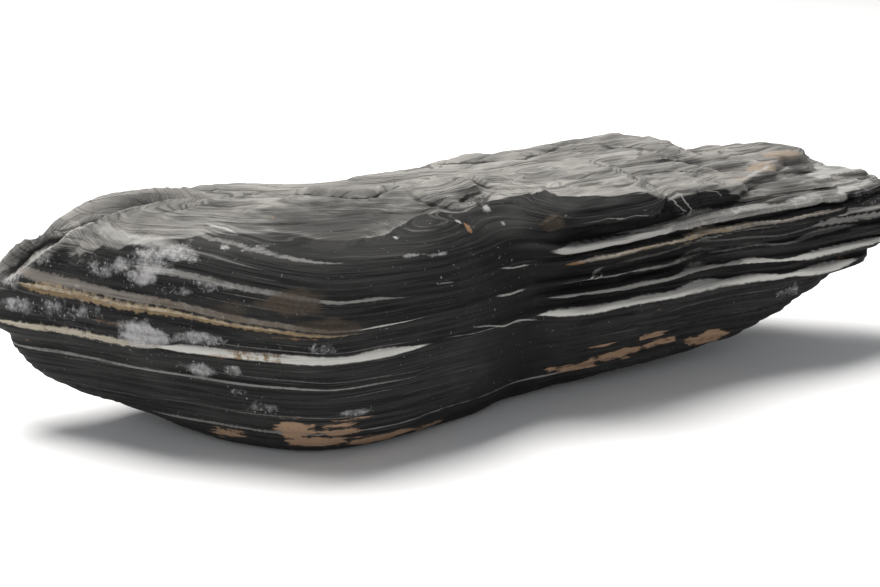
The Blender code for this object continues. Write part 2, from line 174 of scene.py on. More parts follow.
def ledgeShape(x, y, bed):
    # how far each place stands out with its bed, and how near it is to a parting, 0 to 1
    reach = byLobe(x, *pile[0][1:])
    parting = np.zeros(len(x))
    one, other = ripple(20, (70, 60), x, y), ripple(21, (60, 70), x, y)
    for number, (below, above) in enumerate(zip(pile, pile[1:])):
        turn = bedEdges["turn"] * number
        fading = bedEdges["least"] + bedEdges["varies"] * (one * np.cos(turn) + other * np.sin(turn))
        step = byLobe(x, above[1] - below[1], above[2] - below[2]) * fading
        reach = reach + step * smoothRise(bed, above[0], bedEdges["half"])
        deep = np.clip(bedEdges["partingLeast"] + bedEdges["partingByStep"] * np.abs(step), 0, 1)
        parting = np.maximum(parting, hump(bed - above[0], bedEdges["partingHalf"]) * deep)
    return reach, parting


stoneSkin = {
    "rings": 286,  # rings of points along the stone
    "pointsRound": 336,  # points in each ring
    "spine": ((-112, 5, 36), (-70, 0, 32), (0, 3, 32), (60, 4, 35), (96, 0, 42), (123, -7, 46)),
    "lateLean": 2.6,  # how late the rays turn towards the ends of the stone
    "closer": 0.58,  # how much closer the points lie on the front and the top than under the back
    "closest": 2.4,  # the side where they are closest, in radians from the back over the top
    "bulge": 0.75,  # how far each facet swells to meet its neighbours
    "crease": 48,  # facets that meet more sharply than this, in degrees, keep their edge
    "onFloor": 0.1,  # points under this height belong to the resting face, which stays flat
    "softAlong": 3, "softRound": 1,  # how often neighbours are averaged, along the stone and round it
    # the front wall of the left lobe is worn smooth between two places along the stone
    "calm": (-122, -4), "calmHalf": 8, "calmFront": (0, 10), "calmReach": 6, "calmBy": 0.85,
    # the bend of the right lobe's front wall is eased between two places, below the slab
    "bend": (26, 94), "bendHalf": 6, "bendFront": (12, 5), "bendTop": (54, 2), "bendReach": 220,
    # how much the ledges of the left and right lobes gain over their smoothed shape
    "sharpen": (0.0, 0.5), "sharpenReach": 9, "sharpenFrom": (4, 3),
}


def facetTable():
    # The solid's facets, with the direction that the surface faces at each of their corners.
    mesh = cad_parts["stone"].data.copy()
    shape = bmesh.new()
    shape.from_mesh(mesh)
    bmesh.ops.remove_doubles(shape, verts=shape.verts, dist=0.001 * mm)
    shape.to_mesh(mesh)
    shape.free()
    mesh.shade_smooth()
    mesh.set_sharp_from_angle(angle=math.radians(stoneSkin["crease"]))
    points = np.array([v.co for v in mesh.vertices])
    facets = np.array([p.vertices[:] for p in mesh.polygons])
    normals = np.array([corner.vector for corner in mesh.corner_normals]).reshape(-1, 3, 3)
    solid = BVHTree.FromPolygons(points.tolist(), facets.tolist())
    bpy.data.meshes.remove(mesh)
    return solid, points[facets], normals


def bulged(places, corners, normals):
    # Each place moves towards the curved patch that its facet's corners describe.
    a, b = corners[:, 1] - corners[:, 0], corners[:, 2] - corners[:, 0]
    c = places - corners[:, 0]
    aa, ab, bb, ca, cb = ((p * q).sum(-1) for p, q in ((a, a), (a, b), (b, b), (c, a), (c, b)))
    area = np.maximum(aa * bb - ab * ab, 1e-18)
    second, third = (bb * ca - ab * cb) / area, (aa * cb - ab * ca) / area
    shares = np.clip(np.stack([1 - second - third, second, third], -1), 0, 1)
    shares = shares / shares.sum(-1, keepdims=True)
    offset = ((places[:, None] - corners) * normals).sum(-1, keepdims=True)
    patch = (shares[..., None] * (places[:, None] - offset * normals)).sum(1)
    return places + stoneSkin["bulge"] * (patch - places)


def castRings():
    # Rays from a spine inside the solid, square to it along the stone and fanned out at the ends.
    solid, corners, normals = facetTable()
    spine = np.array(stoneSkin["spine"], float) * mm
    along = np.linspace(-1, 1, stoneSkin["rings"] + 2)[1:-1]
    x = spine[0, 0] + (spine[-1, 0] - spine[0, 0]) * (0.5 + 0.5 * np.sin(along * np.pi / 2))
    feet = np.stack([x, np.interp(x, spine[:, 0], spine[:, 1]), np.interp(x, spine[:, 0], spine[:, 2])], -1)
    lean = np.pi / 2 * np.sign(along) * np.abs(along) ** stoneSkin["lateLean"]
    turn = np.linspace(0, 2 * np.pi, stoneSkin["pointsRound"], endpoint=False)
    turn = turn - stoneSkin["closer"] * np.sin(turn - stoneSkin["closest"])
    places, hit = [], []
    for foot, angle in zip(feet, lean):
        flat = math.cos(angle)
        for around in turn:
            way = (math.sin(angle), flat * math.cos(around), flat * math.sin(around))
            place, _, facet, _ = solid.ray_cast(foot, way)
            places.append(place)
            hit.append(facet)
    places = bulged(np.array(places), corners[hit], normals[hit])
    places[:, 2] = np.where(places[:, 2] < stoneSkin["onFloor"] * mm, 0, places[:, 2])
    return places.reshape(len(x), len(turn), 3)


def smoothRings(rings, along, around):
    # The ends of the stone keep their first and last ring.
    rings = rings.copy()
    for _ in range(along):
        rings[1:-1] = 0.25 * rings[:-2] + 0.5 * rings[1:-1] + 0.25 * rings[2:]
    for _ in range(around):
        rings = 0.25 * np.roll(rings, 1, 1) + 0.5 * rings + 0.25 * np.roll(rings, -1, 1)
    return rings


def ringMesh(name, rings):
    count, around = rings.shape[:2]
    points = np.concatenate([rings.reshape(-1, 3), [rings[0].mean(0), rings[-1].mean(0)]])
    i, j = np.meshgrid(np.arange(count - 1), np.arange(around), indexing="ij")
    k = (j + 1) % around
    quads = np.stack([i * around + j, i * around + k, (i + 1) * around + k, (i + 1) * around + j], -1)
    faces = quads.reshape(-1, 4).tolist()
    last = (count - 1) * around
    for a in range(around):
        b = (a + 1) % around
        faces.append((len(points) - 2, b, a))
        faces.append((len(points) - 1, last + a, last + b))
    mesh = bpy.data.meshes.new(name)
    mesh.from_pydata(points.tolist(), [], faces)
    mesh.shade_smooth()
    return mesh


def meshPlaces(mesh):
    # where the points lie, in millimetres, and which way the surface faces there
    points, normals = np.zeros(len(mesh.vertices) * 3), np.zeros(len(mesh.vertices) * 3)
    mesh.vertices.foreach_get("co", points)
    mesh.vertices.foreach_get("normal", normals)
    return points.reshape(-1, 3) / mm, normals.reshape(-1, 3)


def distanceToPath(points, path):
    # the distance to a line through the path's points, above zero on its left, and how far along it that
    # is, 0 to 1
    path = np.array(path, float)
    lengths = np.linalg.norm(np.diff(path, axis=0), axis=1)
    best, share, before = np.full(len(points), 1e9), np.zeros(len(points)), 0.0
    for start, end, length in zip(path[:-1], path[1:], lengths):
        run = (end - start) / length
        t = np.clip((points - start) @ run / length, 0, 1)
        away = np.linalg.norm(points - start - t[:, None] * (end - start), axis=1)
        side = np.where((points - start) @ np.array((-run[1], run[0])) < 0, -1, 1)
        nearer = away < np.abs(best)
        best = np.where(nearer, away * side, best)
        share = np.where(nearer, (before + t * length) / lengths.sum(), share)
        before += length
    return best, share


def storeFloat(mesh, name, values):
    mesh.attributes.new(name, "FLOAT", "POINT").data.foreach_set("value", values.astype(np.float32))


# Cracks and gullies of the top, seen in plan: a path, how deep, half how wide, how dark the painted shade
# inside is, and how far the stone stands up behind it.
topGullies = (
    # between the front lobe and the two rolls of stone behind its left shoulder
    (((-128, 22), (-122, 19), (-115, 18), (-107, 22), (-99, 25), (-89, 24)), 3.4, 2.3, 0.95, 0.9),
    (((-145, 35), (-139, 31.5), (-135, 28), (-131, 24), (-126, 20)), 3.0, 1.7, 0.9, 0.9),
    (((-136, 34), (-131, 31), (-127, 26), (-124, 22)), 1.8, 1.1, 0.8, 0.6),
    # long partings of the top sheet
    (((-92, 22), (-84, 18), (-76, 19), (-68, 21)), 1.0, 0.9, 0.9, 0.6),
    (((-62, 17), (-55, 12), (-48, 7), (-40, 2), (-34, 2)), 1.6, 1.1, 1.0, 1.3),
    (((-36, 1), (-27, 3), (-17, 10), (-10, 8)), 0.8, 0.9, 0.7, 0.7),
    (((-12, 7), (-7, 2), (-1, -1)), 1.2, 1.0, 0.9, 1.0),
    (((-31, -3), (-29, -9), (-24, -11), (-18, -12), (-9, -8), (-2, -3)), 0.8, 1.0, 0.7, 0.8),
    (((-17, -8), (-12, -5), (-6, -3)), 0.8, 0.8, 0.9, 0.6),
    (((-8, 27), (-3, 20), (6, 21), (14, 19)), 1.0, 0.9, 0.8, 0.8),
    (((12, 18), (19, 17), (30, 23), (36, 24)), 0.8, 0.8, 0.8, 0.7),
    (((48, 20), (57, 13), (63, 7)), 0.8, 0.9, 0.8, 0.7),
    (((55, -2), (66, 2), (74, 0), (81, -3)), 0.6, 0.8, 0.8, 0.5),
    (((47, -8), (58, -6), (69, -9)), 0.5, 0.7, 0.7, 0.4),
    (((18, -12), (30, -10), (44, -13)), 0.5, 0.7, 0.6, 0.4),
    (((84, 4), (96, 8), (108, 8)), 0.5, 0.7, 0.6, 0.3),
    (((-104, 8), (-92, 9), (-80, 5)), 0.4, 0.7, 0.5, 0.3),
)
# The same in the front wall, seen from the front.
wallGullies = (
    # either side of the tongue beside the nose of the front slab
    (((43.4, 64.2), (43.4, 61.5), (43.6, 59), (44, 56.6)), 1.6, 1.5, 1.0, 0.0),
    (((42.8, 60), (41.2, 58), (39.8, 56)), 0.6, 1.4, 1.0, 0.0),
    (((44.6, 59.6), (46.4, 57.8), (48, 56)), 0.6, 1.4, 1.0, 0.0),
    (((55, 63.5), (56.5, 60.5), (58, 57.5)), 0.5, 0.8, 0.7, 0.0),
    # under the slab
    (((2, 55.2), (18, 56), (30, 56.4), (42, 56)), 0.9, 0.7, 0.6, 0.0),
)
# Low rolls and worn edges that stand out of the top, seen in plan: a path, how high, half how wide.
topRolls = (
    (((-146, 42), (-140, 37), (-133, 32)), 1.0, 3.0),
    (((-131, 30), (-125, 28.5), (-116, 28.5), (-106, 30), (-94, 31)), 2.0, 3.4),
    (((-143, 28), (-136, 23), (-129, 17), (-118, 12), (-106, 17), (-92, 19)), 0.8, 2.6),
    (((-28, 0), (-18, 3), (-10, 1), (-12, -3), (-22, -6)), 1.0, 3.5),
    (((88, 17), (104, 15), (122, 9)), 1.4, 9.0),
)
wallRolls = (
    (((45, 64.5), (48, 61.5), (52.5, 57.5)), 0.8, 1.8),
    (((33.5, 65.5), (38, 63), (37.5, 59.5)), 0.7, 2.6),
)
# Pale worn edges, with a painted highlight along the rims, and thin scratches: a path, half how wide, how
# full. Where two run close together they turn the same side to each other. First those of the top, seen in
# plan.
topEdgesAndHighlights = (
    (((-144, 31), (-137, 26.5), (-129, 20), (-122, 15), (-115, 13.5), (-106, 19), (-96, 23)), 0.9, 0.6),
    (((-120, 12.4), (-118, 6.5), (-115, 2), (-110, -3.5), (-104, -8)), 2.2, 0.7),
    (((-92, -3), (-89.5, -7.5), (-87, -11.5)), 0.7, 0.8),
    (((-82, -1), (-72, 6.5), (-67, 11.5), (-58, 12.5)), 0.6, 0.2),
    (((-30, -1), (-22, 4), (-14, 6), (-9, 3)), 0.5, 0.5),
    (((14, 4), (26, 8), (40, 7), (52, 10)), 0.5, 0.4),
    (((79, -15), (86, -11), (92, -8), (97, -4)), 0.9, 0.55),
)
# Then those of the front wall, seen from the front.
wallEdgesAndHighlights = (
    # the rim of the front slab, round its nose and back along its foot, pale with a painted highlight
    (
        (
            (36, 58.5), (40, 59.3), (42, 61.2), (42.2, 63.4), (41, 65.4), (35, 66.6), (26, 66.8), (15, 66.6),
            (6, 66),
        ),
        0.4, 0.8,
    ),
    (((11, 60.2), (19, 60.3), (29, 60.4), (36, 58.6)), 0.26, 0.5),
    # the tongue's left edge, then its foot and its right edge
    (((44.2, 64.2), (44.6, 62.8), (46.6, 60.4), (50, 57.6), (52.6, 56.6)), 0.26, 0.65),
    (
        ((47.6, 55.1), (50.8, 55.2), (54.2, 56.1), (53.4, 57.6), (50, 60.4), (47.2, 63), (45.6, 64.6)),
        0.32, 0.8,
    ),
    (((58, 62.8), (63, 61.6), (66, 59.5)), 0.3, 0.5),
    # scratches between the lobes
    (((-14, 49), (-9, 48), (-4, 48)), 0.28, 0.6),
    (((-17, 42), (-12, 41.2), (-6, 41.2)), 0.35, 0.75),
    (((-26, 35), (-20, 34), (-15, 32.6), (-9, 33), (-3, 32)), 0.25, 0.7),
    (((-38, 50), (-33, 49.6)), 0.25, 0.4),
    (((21.3, 43.6), (18.4, 42.9), (15.2, 40.8), (17.6, 40.3), (20.6, 42.8)), 0.35, 0.8),
)
# Where those paths count, as the middle and half width of a smooth step: heights, places towards the front,
# and how far the surface faces up, from 0 to 1. Then their widths against half their own, and how they end.
carving = {
    "topHeight": (44, 3), "topFacing": (0.1, 0.1), "frontDepth": (8, 4), "levelFacing": (0.85, 0.12),
    "wallFacing": (0.5, 0.75), "wallFacingHalf": 0.15, "wallFoot": (3, 2),
    "gullyWidth": 1.4, "gullyLeast": 1.7, "gullyEnds": (0.06, 1.5),
    "stepHalf": 1.5, "stepReach": 7, "rollEnds": 0.05,
    "lineWidth": 1.2, "lineSpare": 1.3, "lineEnds": (0.04, 2),
}


def nearestPath(points, where, table):
    # how many half widths away the nearest path is, below zero on its right, and how full it is there
    far = 9.0
    side, full = np.full(len(points), far), np.zeros(len(points))
    for path, half, here in table:
        away, share = distanceToPath(points, path)
        here = here * where * fadeAtEnds(share, *carving["lineEnds"])
        here = here * hump(away, carving["lineWidth"] * half + carving["lineSpare"])
        nearer = here > full
        side, full = np.where(nearer, away / half, side), np.where(nearer, here, full)
    return side, full


def gullyShift(points, where, cuts, swells):
    # how far the cracks and rolls move each point of the surface out
    shift = np.zeros(len(points))
    for path, depth, half, _, step in cuts:
        away, share = distanceToPath(points, path)
        fade = where * fadeAtEnds(share, *carving["gullyEnds"])
        shift -= depth * fade * hump(away, max(carving["gullyWidth"] * half, carving["gullyLeast"]))
        behind = smoothRise(away, half, carving["stepHalf"]) * hump(away, carving["stepReach"])
        shift += step * fade * behind
    for path, height, half in swells:
        away, share = distanceToPath(points, path)
        shift += where * height * fadeAtEnds(share, carving["rollEnds"]) * hump(away, half)
    return shift


def carveGullies(mesh):
    points, normals = meshPlaces(mesh)
    x, y, z = points.T
    facing = normals[:, 2]
    walls = 1 - smoothRise(facing, byLobe(x, *carving["wallFacing"]), carving["wallFacingHalf"])
    walls = walls * smoothRise(z, *carving["wallFoot"])
    reach, parting = ledgeShape(x, y, bedHeight(x, y, z))
    share, depth, dark = (byLobe(x, *bedEdges[name]) for name in ("share", "partingDepth", "partingShade"))
    top = smoothRise(z, *carving["topHeight"]) * smoothRise(facing, *carving["topFacing"])
    front = smoothRise(-y, *carving["frontDepth"])
    plan, elevation = points[:, :2], points[:, ::2]
    shift = walls * (share * reach - depth * parting)
    shift += gullyShift(plan, top, topGullies, topRolls)
    shift += gullyShift(elevation, front, wallGullies, wallRolls)
    moved = points + normals * shift[:, None]
    moved[:, 2] = np.maximum(moved[:, 2], 0)
    mesh.vertices.foreach_set("co", (moved * mm).ravel())
    # painted shade in the partings between the beds of the walls
    storeFloat(mesh, "partingShade", walls * dark * parting)
    steepFront = front * (1 - smoothRise(facing, *carving["levelFacing"]))
    # the inside of each crack and gully gets painted shade, as dark as its table gives
    crackShades = [[(path, half, dark) for path, _, half, dark, _ in cuts] for cuts in (topGullies, wallGullies)]
    for name, (onTop, onWall) in (("crackShade", crackShades), ("edge", (topEdgesAndHighlights, wallEdgesAndHighlights))):
        above, aboveFull = nearestPath(plan, top, onTop)
        beside, besideFull = nearestPath(elevation, steepFront, onWall)
        storeFloat(mesh, name + "Side", np.where(besideFull > aboveFull, beside, above))
        storeFloat(mesh, name + "Full", np.maximum(besideFull, aboveFull))


# Where the pale weathered top begins: how far towards the back, for places along the stone.
wearLine = (
    (-140, 26), (-130, 16), (-123, 4), (-113, -3), (-100, -9), (-88, -14), (-72, -15), (-66, -17),
    (-57, -20), (-49, -24), (-42, -23), (-35, -18), (-25, -13), (-17, -15), (-10, -8), (4, -14), (8, -24),
    (22, -30), (36, -34), (48, -29), (62, -27), (84, -22), (110, -22),
)
# The rolls of stone behind the left shoulder, seen in plan.
rollLine = ((-146, 42), (-140, 37), (-133, 31), (-125, 28), (-112, 27), (-98, 29), (-84, 26))
# How the weathered top meets the walls. Pairs are the middle and half width of a smooth step.
weathering = {
    "wander": (1.5, 0.8), "wanderWaves": ((26, 14), (9, 5)),  # how far its edge wanders
    "steady": (-4, 10), "steadyBy": 0.8,  # past this place along the stone it wanders less
    "soft": 1.0, "softer": 3.2, "softestAt": -82, "softReach": 20, "softShare": 0.6,  # softest over the scoop
    "facing": (0.45, 0.3),  # it needs a surface that faces up
    "farBack": (8, 4), "facingBack": (0.1, 0.25),  # or less so, well behind the line
    # the broken left end has it all over, but for its back wall
    "leftEnd": (-120, 7), "endBack": (3, 2), "backWall": (0.45, 0.25),
    "lowest": 52, "lowerAtEnd": 12, "lowestHalf": 2,
    # its lines follow the beds, and at the left end the rim and the rolls behind it
    "tilt": 0.14, "endLines": (0.6, 30), "rollLines": (0.7, 40), "rollReach": 9, "rollsTo": (-92, 8),
}
# The wall between the lobes is plain, and beds show more the steeper and the farther right a wall is.
wallMarks = {
    "plainAt": -6, "plainReach": 20, "plainTop": (55, 3), "plainBy": 0.7,
    "steep": (0.4, 0.25), "steepShare": (0.45, 1.0),
    "wanderWaves": (60, 22), "wanderShort": 0.6,
    "spotLong": (0.2, (17, 17, 8)), "spotShort": (0.16, (7, 7, 4)), "spotEdge": (0.75, 0.45),
}


def markTop(mesh, points, normals, bed):
    # weathered is 1 on the top and 0 on the walls, and level is what the lines of the top follow
    x, y, _ = points.T
    given = weathering
    line = np.array(wearLine, float)
    long, short = (ripple(seed, waves, x, y) for seed, waves in zip((33, 34), given["wanderWaves"]))
    wander = given["wander"][0] * long + given["wander"][1] * short
    wander = wander * (1 - given["steadyBy"] * smoothRise(x, *given["steady"]))
    behind = y - np.interp(x, line[:, 0], line[:, 1]) + wander
    leftEnd = 1 - smoothRise(x, *given["leftEnd"])
    softness = given["soft"] + given["softer"] * hump(x - given["softestAt"], given["softReach"])
    farBack = smoothRise(behind, *given["farBack"]) * smoothRise(normals[:, 2], *given["facingBack"])
    notBack = 1 - smoothRise(normals[:, 1], *given["backWall"])
    atEnd = leftEnd * smoothRise(behind, *given["endBack"]) * notBack
    facing = np.maximum(np.maximum(smoothRise(normals[:, 2], *given["facing"]), farBack), atEnd)
    worn = smoothRise(behind, softness * given["softShare"], softness) * facing
    worn = worn * smoothRise(bed, given["lowest"] - given["lowerAtEnd"] * leftEnd, given["lowestHalf"])
    storeFloat(mesh, "weathered", worn)

    def lines(distance, scale, start):
        return scale * distance + start

    level = (bed + given["tilt"] * y) * (1 - leftEnd) + lines(behind, *given["endLines"]) * leftEnd
    away, _ = distanceToPath(points[:, :2], rollLine)
    near = hump(away, given["rollReach"]) * (1 - smoothRise(x, *given["rollsTo"]))
    storeFloat(mesh, "level", level * (1 - near) + lines(away, *given["rollLines"]) * near)


def markWalls(mesh, points, normals):
    x, y, z = points.T
    given = wallMarks
    plain = hump(x - given["plainAt"], given["plainReach"]) * (1 - smoothRise(z, *given["plainTop"]))
    storeFloat(mesh, "plain", plain)
    steep = (1 - smoothRise(normals[:, 2], *given["steep"])) * byLobe(x, *given["steepShare"])
    storeFloat(mesh, "steep", steep * (1 - given["plainBy"] * plain))
    long, short = (ripple(seed, (waves,), x) for seed, waves in zip((11, 12), given["wanderWaves"]))
    storeFloat(mesh, "wander", long + given["wanderShort"] * short)


def markSpots(mesh, points):
    # how full each kind of patch is, with an uneven edge
    uneven = 1
    for seed, (height, waves) in ((31, wallMarks["spotLong"]), (32, wallMarks["spotShort"])):
        uneven = uneven + height * ripple(seed, waves, *points.T)
    for name, spots in patches.items():
        field = np.zeros(len(points))
        for centre, sizes, full in spots:
            away = uneven * np.linalg.norm((points - centre) / np.array(sizes, float), axis=1)
            field = np.maximum(field, full * (1 - smoothRise(away, *wallMarks["spotEdge"])))
        storeFloat(mesh, name, field)


def markStone(mesh):
    # bed is the height in the pile
    points, normals = meshPlaces(mesh)
    bed = bedHeight(*points.T)
    storeFloat(mesh, "bed", bed)
    markTop(mesh, points, normals, bed)
    markWalls(mesh, points, normals)
    markSpots(mesh, points)


# How far the fine beds, the flakes of the top, its grooves and the chips of the walls stand out.
stoneRelief = {
    "bedDepth": 0.6,
    "flakeDepth": 0.5,
    "grainDepth": 0.35,
    "chipDepth": 0.5,
    "seed": 4.0,
}
# Their patterns: how fine along, across and through the pile, then where each steps out.
reliefPatterns = {
    "bedDepth": ((0.02, 0.03, 0.75), (0.4, 0.56)),
    "flakeDepth": ((0.022, 0.04, 0.6), (0.47, 0.53)),
    "grainDepth": ((0.05, 0.12, 1.5), (0.35, 0.62)),
    "chipDepth": ((0.11, 0.11, 0.3), (0.6, 0.7)),
    "restingFace": (0.2, 3.0),  # the relief starts above this height, so that the resting face stays flat
}


def reliefTree():
    tree = bpy.data.node_groups.new("bedded relief", "GeometryNodeTree")
    face = tree.interface
    face.new_socket("Stone", in_out="INPUT", socket_type="NodeSocketGeometry")
    for name in stoneRelief:
        face.new_socket(name, in_out="INPUT", socket_type="NodeSocketFloat")
    face.new_socket("finish", in_out="INPUT", socket_type="NodeSocketMaterial")
    face.new_socket("Stone", in_out="OUTPUT", socket_type="NodeSocketGeometry")
    given = tree.nodes.new("NodeGroupInput").outputs

    def field(name):
        return addNode(tree, "GeometryNodeInputNamedAttribute", {0: name}, data_type="FLOAT").outputs[0]

    _, x, y, z = inMillimetres(tree, addNode(tree, "GeometryNodeInputPosition").outputs[0])
    bed, level, weathered = field("bed"), field("level"), field("weathered")
    walls = times(tree, maths(tree, "SUBTRACT", 1.0, weathered), field("steep"))

    def sheets(depth, height, where):
        (alongScale, acrossScale, throughScale), (low, high) = reliefPatterns[depth]
        along, across = timesPlus(tree, x, alongScale, given["seed"]), times(tree, y, acrossScale)
        way = vectorOf(tree, along, across, times(tree, height, throughScale))
        steps = ramp(tree, noiseAt(tree, way, detail=2.0), low, high, -0.5, 0.5)
        return times(tree, times(tree, steps, given[depth]), where)

    # thin beds in the walls each stand out or are weathered back for a stretch
    fine = sheets("bedDepth", bed, walls)
    # the top flakes off in sheets with sharp edges, and between them it is grooved like the grain of wood
    flakes, grain = sheets("flakeDepth", level, weathered), sheets("grainDepth", level, weathered)
    # the walls are chipped
    chipScales, chipStep = reliefPatterns["chipDepth"]
    chipWay = vectorOf(tree, *(times(tree, place, scale) for place, scale in zip((x, y, z), chipScales)))
    chips = ramp(tree, noiseAt(tree, chipWay, detail=1.0), *chipStep)
    chips = times(tree, times(tree, chips, given["chipDepth"]), walls)

    height = maths(tree, "SUBTRACT", maths(tree, "ADD", maths(tree, "ADD", fine, flakes), grain), chips)
    height = times(tree, height, ramp(tree, z, *reliefPatterns["restingFace"]))
    stored = addNode(
        tree, "GeometryNodeStoreNamedAttribute", {0: given["Stone"], 2: "relief", 3: height},
        data_type="FLOAT", domain="POINT",
    )
    outwards = addNode(tree, "GeometryNodeInputNormal").outputs[0]
    shift = addNode(
        tree, "ShaderNodeVectorMath", {0: outwards, 3: times(tree, height, mm)}, operation="SCALE"
    )
    moved = addNode(tree, "GeometryNodeSetPosition", {0: stored.outputs[0], 3: shift.outputs[0]})
    whole = addNode(tree, "GeometryNodeRealizeInstances", {0: moved.outputs[0]})
    finished = addNode(tree, "GeometryNodeSetMaterial", {0: whole.outputs[0], 2: given["finish"]})
    tree.links.new(finished.outputs[0], tree.nodes.new("NodeGroupOutput").inputs[0])
    return tree


def carveRelief(mesh, material):
    rough = bpy.data.objects.new("roughStone", mesh)
    bpy.context.scene.collection.objects.link(rough)
    modifier = rough.modifiers.new("beddedRelief", "NODES")
    modifier.node_group = reliefTree()
    for item in modifier.node_group.interface.items_tree:
        if item.in_out == "INPUT" and item.name in stoneRelief:
            modifier[item.identifier] = stoneRelief[item.name]
        elif item.in_out == "INPUT" and item.name == "finish":
            modifier[item.identifier] = material
    graph = bpy.context.evaluated_depsgraph_get()
    carved = bpy.data.meshes.new_from_object(rough.evaluated_get(graph))
    bpy.data.objects.remove(rough)
    carved.name = "bandedStone"
    carved.shade_smooth()
    stone = bpy.data.objects.new("bandedStone", carved)
    bpy.context.scene.collection.objects.link(stone)
    return stone


# Colours of the stone's minerals and of what lies on it, and the tint of the painted shade.
tints = {
    "black": (0.009, 0.009, 0.0092, 1),
    "charcoal": (0.025, 0.0247, 0.0242, 1),
    "slate": (0.05, 0.049, 0.048, 1),
    "darkAsh": (0.135, 0.13, 0.123, 1),
    "ash": (0.235, 0.228, 0.215, 1),
    "paleAsh": (0.33, 0.318, 0.298, 1),
    "white": (0.53, 0.52, 0.49, 1),
    "paleGrey": (0.37, 0.362, 0.345, 1),
    "grey": (0.22, 0.215, 0.205, 1),
    "dimGrey": (0.115, 0.112, 0.106, 1),
    "cream": (0.44, 0.4, 0.32, 1),
    "gold": (0.27, 0.205, 0.125, 1),
    "ochre": (0.21, 0.145, 0.08, 1),
    "dun": (0.2, 0.18, 0.16, 1),
    "umber": (0.15, 0.125, 0.1, 1),
    "lime": (0.4, 0.395, 0.395, 1),
    "sand": (0.3, 0.195, 0.125, 1),
    "beige": (0.3, 0.235, 0.175, 1),
    "brown": (0.066, 0.05, 0.036, 1),
    "rust": (0.24, 0.135, 0.07, 1),
    "shade": (0.052, 0.05, 0.048, 1),
}

# What each vein is given, in this order: its height in the pile and half its thickness, at its left and
# right ends; where it runs along the stone; how solid it is, how far it wanders and how ragged its edges
# are; and where its second colour runs and how full that is.
veinNumbers = (
    "Left height", "Right height", "Left half", "Right half", "From", "To",
    "Strength", "Wander by", "Ragged by", "Second from", "Second to", "Second by",
)
